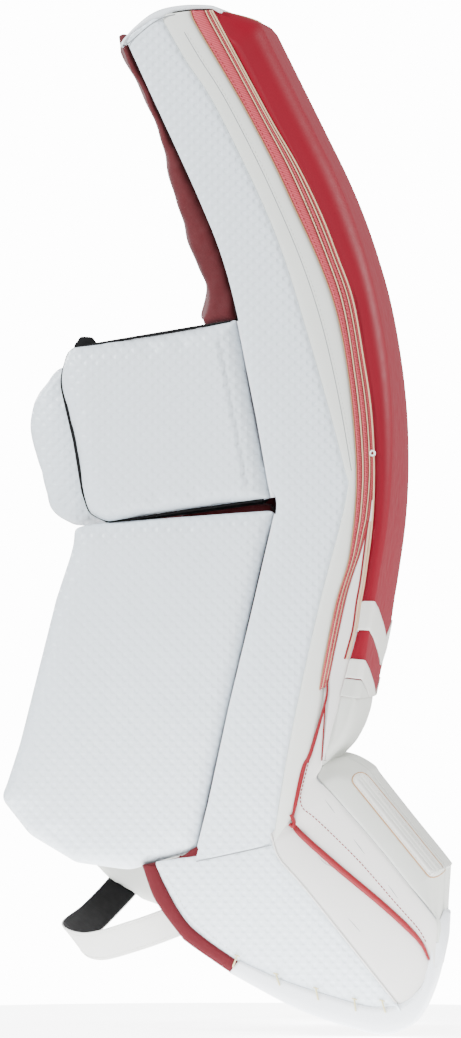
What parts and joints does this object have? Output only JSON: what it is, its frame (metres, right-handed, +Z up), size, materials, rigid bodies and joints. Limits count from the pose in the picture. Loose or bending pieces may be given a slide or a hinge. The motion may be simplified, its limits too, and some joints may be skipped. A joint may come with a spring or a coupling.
{
  "type": "ice hockey goaltender leg pad",
  "caption": "Tall padded leg guard for an ice hockey goaltender, with a curved front, hinged padded wings behind the knee and calf, leg straps and a flared boot.",
  "frame": {"origin": "bottom centre of the bounding box, under the boot", "axes": "+Z up along the shin, +X out of the front face of the pad, -Y towards the inner (medial) edge, +Y towards the outer edge"},
  "size_m": [0.3682, 0.2826, 0.8677],
  "materials": {
    "white_dimpled_skin": "white synthetic leather embossed with small staggered dimples, satin",
    "white_smooth_skin": "smooth off-white synthetic leather, satin",
    "cream_gusset_skin": "smooth off-white synthetic leather with a faint seam line",
    "pink_binding": "thin pink-red strips piped with cream cord",
    "pale_boot_skin": "smooth pale synthetic leather, satin",
    "grey_boot_skin": "smooth pale grey synthetic leather, satin",
    "red_webbing": "woven red nylon tape",
    "red_piping": "rounded red piping",
    "red_face_skin": "smooth red synthetic leather with fine grain, satin",
    "stripe_skin": "smooth white synthetic leather stripe",
    "red_liner": "soft brushed dark red nylon",
    "black_lining": "black nylon",
    "core_foam": "closed-cell foam",
    "boot_wall_foam": "closed-cell foam under white nylon on the inner face",
    "stiffener": "translucent white polyethylene sheet",
    "waxed_cord": "waxed tan cord",
    "bridge_leather": "black leather",
    "brass_eyelets": "pressed brass",
    "strap_webbing": "white coated webbing",
    "strap_leather": "black leather strap",
    "tab_leather": "black leather tab",
    "steel_rivets": "nickel-plated steel"
  },
  "bodies": {
    "root": {"ankle_flap": "grey_boot_skin", "ankle_roll": "grey_boot_skin", "boot_channel_lining": "black_lining", "boot_front_cover": "grey_boot_skin", "boot_instep_foam": "core_foam", "boot_instep_panel": "grey_boot_skin", "boot_lateral_panel": "white_smooth_skin", "boot_lateral_wall": "boot_wall_foam", "boot_lower_panel": "pale_boot_skin", "boot_medial_wall": "boot_wall_foam", "boot_middle_panel": "pale_boot_skin", "boot_piping": "red_piping", "boot_slide_panel": "white_dimpled_skin", "calf_liner": "red_liner", "face_cover": "red_face_skin", "face_foam": "core_foam", "heel_bindings": "red_webbing", "knee_core": "core_foam", "knee_cradle": "red_liner", "knee_stack_cover": "white_dimpled_skin", "knee_stack_foam": "core_foam", "lateral_edge_foam": "core_foam", "lateral_panel": "white_smooth_skin", "lateral_roll": "red_face_skin", "medial_binding": "pink_binding", "medial_gusset": "cream_gusset_skin", "medial_slide_panel": "white_dimpled_skin", "shin_core": "core_foam", "shin_stripe_lower": "stripe_skin", "shin_stripe_upper": "stripe_skin", "sole_bindings": "white_smooth_skin", "sole_ties": "waxed_cord", "strap_rivets": "steel_rivets", "strap_tabs": "tab_leather", "thigh_core": "core_foam", "thigh_liner": "red_liner", "toe_bridge": "bridge_leather", "toe_eyelets": "brass_eyelets", "top_cap": "white_smooth_skin"},
    "knee_block": {"knee_block_cover": "white_dimpled_skin", "knee_block_foam": "core_foam", "knee_block_lining": "black_lining"},
    "calf_wing": {"calf_wing_cover": "white_dimpled_skin", "calf_wing_foam": "core_foam", "calf_wing_board": "stiffener", "calf_wing_lining": "red_liner"},
    "outer_knee_wing": {"outer_knee_wing_cover": "white_dimpled_skin", "outer_knee_wing_foam": "core_foam", "outer_knee_wing_lining": "red_liner"},
    "outer_calf_wing": {"outer_calf_wing_cover": "white_dimpled_skin", "outer_calf_wing_foam": "core_foam", "outer_calf_wing_board": "stiffener", "outer_calf_wing_lining": "red_liner"},
    "knee_strap": {"knee_strap": "strap_leather"},
    "calf_strap_upper": {"calf_strap_upper": "strap_leather"},
    "calf_strap_lower": {"calf_strap_lower": "strap_leather"},
    "boot_strap": {"boot_strap": "strap_webbing", "boot_strap_lining": "black_lining"}
  },
  "joints": [
    {"name": "knee_block_hinge", "type": "hinge", "parent": "root", "child": "knee_block", "pos_m": [0.00915, -0.121, 0.52214], "axis": [-0.2031, 0, 0.9792], "range_deg": [0, 50], "stiffness_Nm_per_rad": 0.6},
    {"name": "calf_wing_hinge", "type": "hinge", "parent": "root", "child": "calf_wing", "pos_m": [-0.00015, -0.125, 0.29847], "axis": [0.2288, 0, 0.9735], "range_deg": [-6, 45], "stiffness_Nm_per_rad": 0.8},
    {"name": "outer_knee_wing_hinge", "type": "hinge", "parent": "root", "child": "outer_knee_wing", "pos_m": [0.01265, 0.123, 0.52495], "axis": [0.2031, 0, -0.9792], "range_deg": [-6, 45], "stiffness_Nm_per_rad": 0.6},
    {"name": "outer_calf_wing_hinge", "type": "hinge", "parent": "root", "child": "outer_calf_wing", "pos_m": [0.00032, 0.125, 0.30047], "axis": [-0.2288, 0, -0.9735], "range_deg": [-6, 45], "stiffness_Nm_per_rad": 0.8},
    {"name": "knee_strap_pivot", "type": "hinge", "parent": "root", "child": "knee_strap", "pos_m": [-0.02176, 0, 0.505], "axis": [0, 1, 0], "range_deg": [-12, 12]},
    {"name": "calf_strap_upper_pivot", "type": "hinge", "parent": "root", "child": "calf_strap_upper", "pos_m": [-0.01855, 0, 0.37], "axis": [0, 1, 0], "range_deg": [-12, 12]},
    {"name": "calf_strap_lower_pivot", "type": "hinge", "parent": "root", "child": "calf_strap_lower", "pos_m": [-0.04877, 0, 0.235], "axis": [0, 1, 0], "range_deg": [-12, 12]},
    {"name": "boot_strap_bail", "type": "hinge", "parent": "root", "child": "boot_strap", "pos_m": [-0.103, 0.126, 0.14], "axis": [0.2684, -0.9457, -0.1832], "range_deg": [-10, 15]}
  ]
}
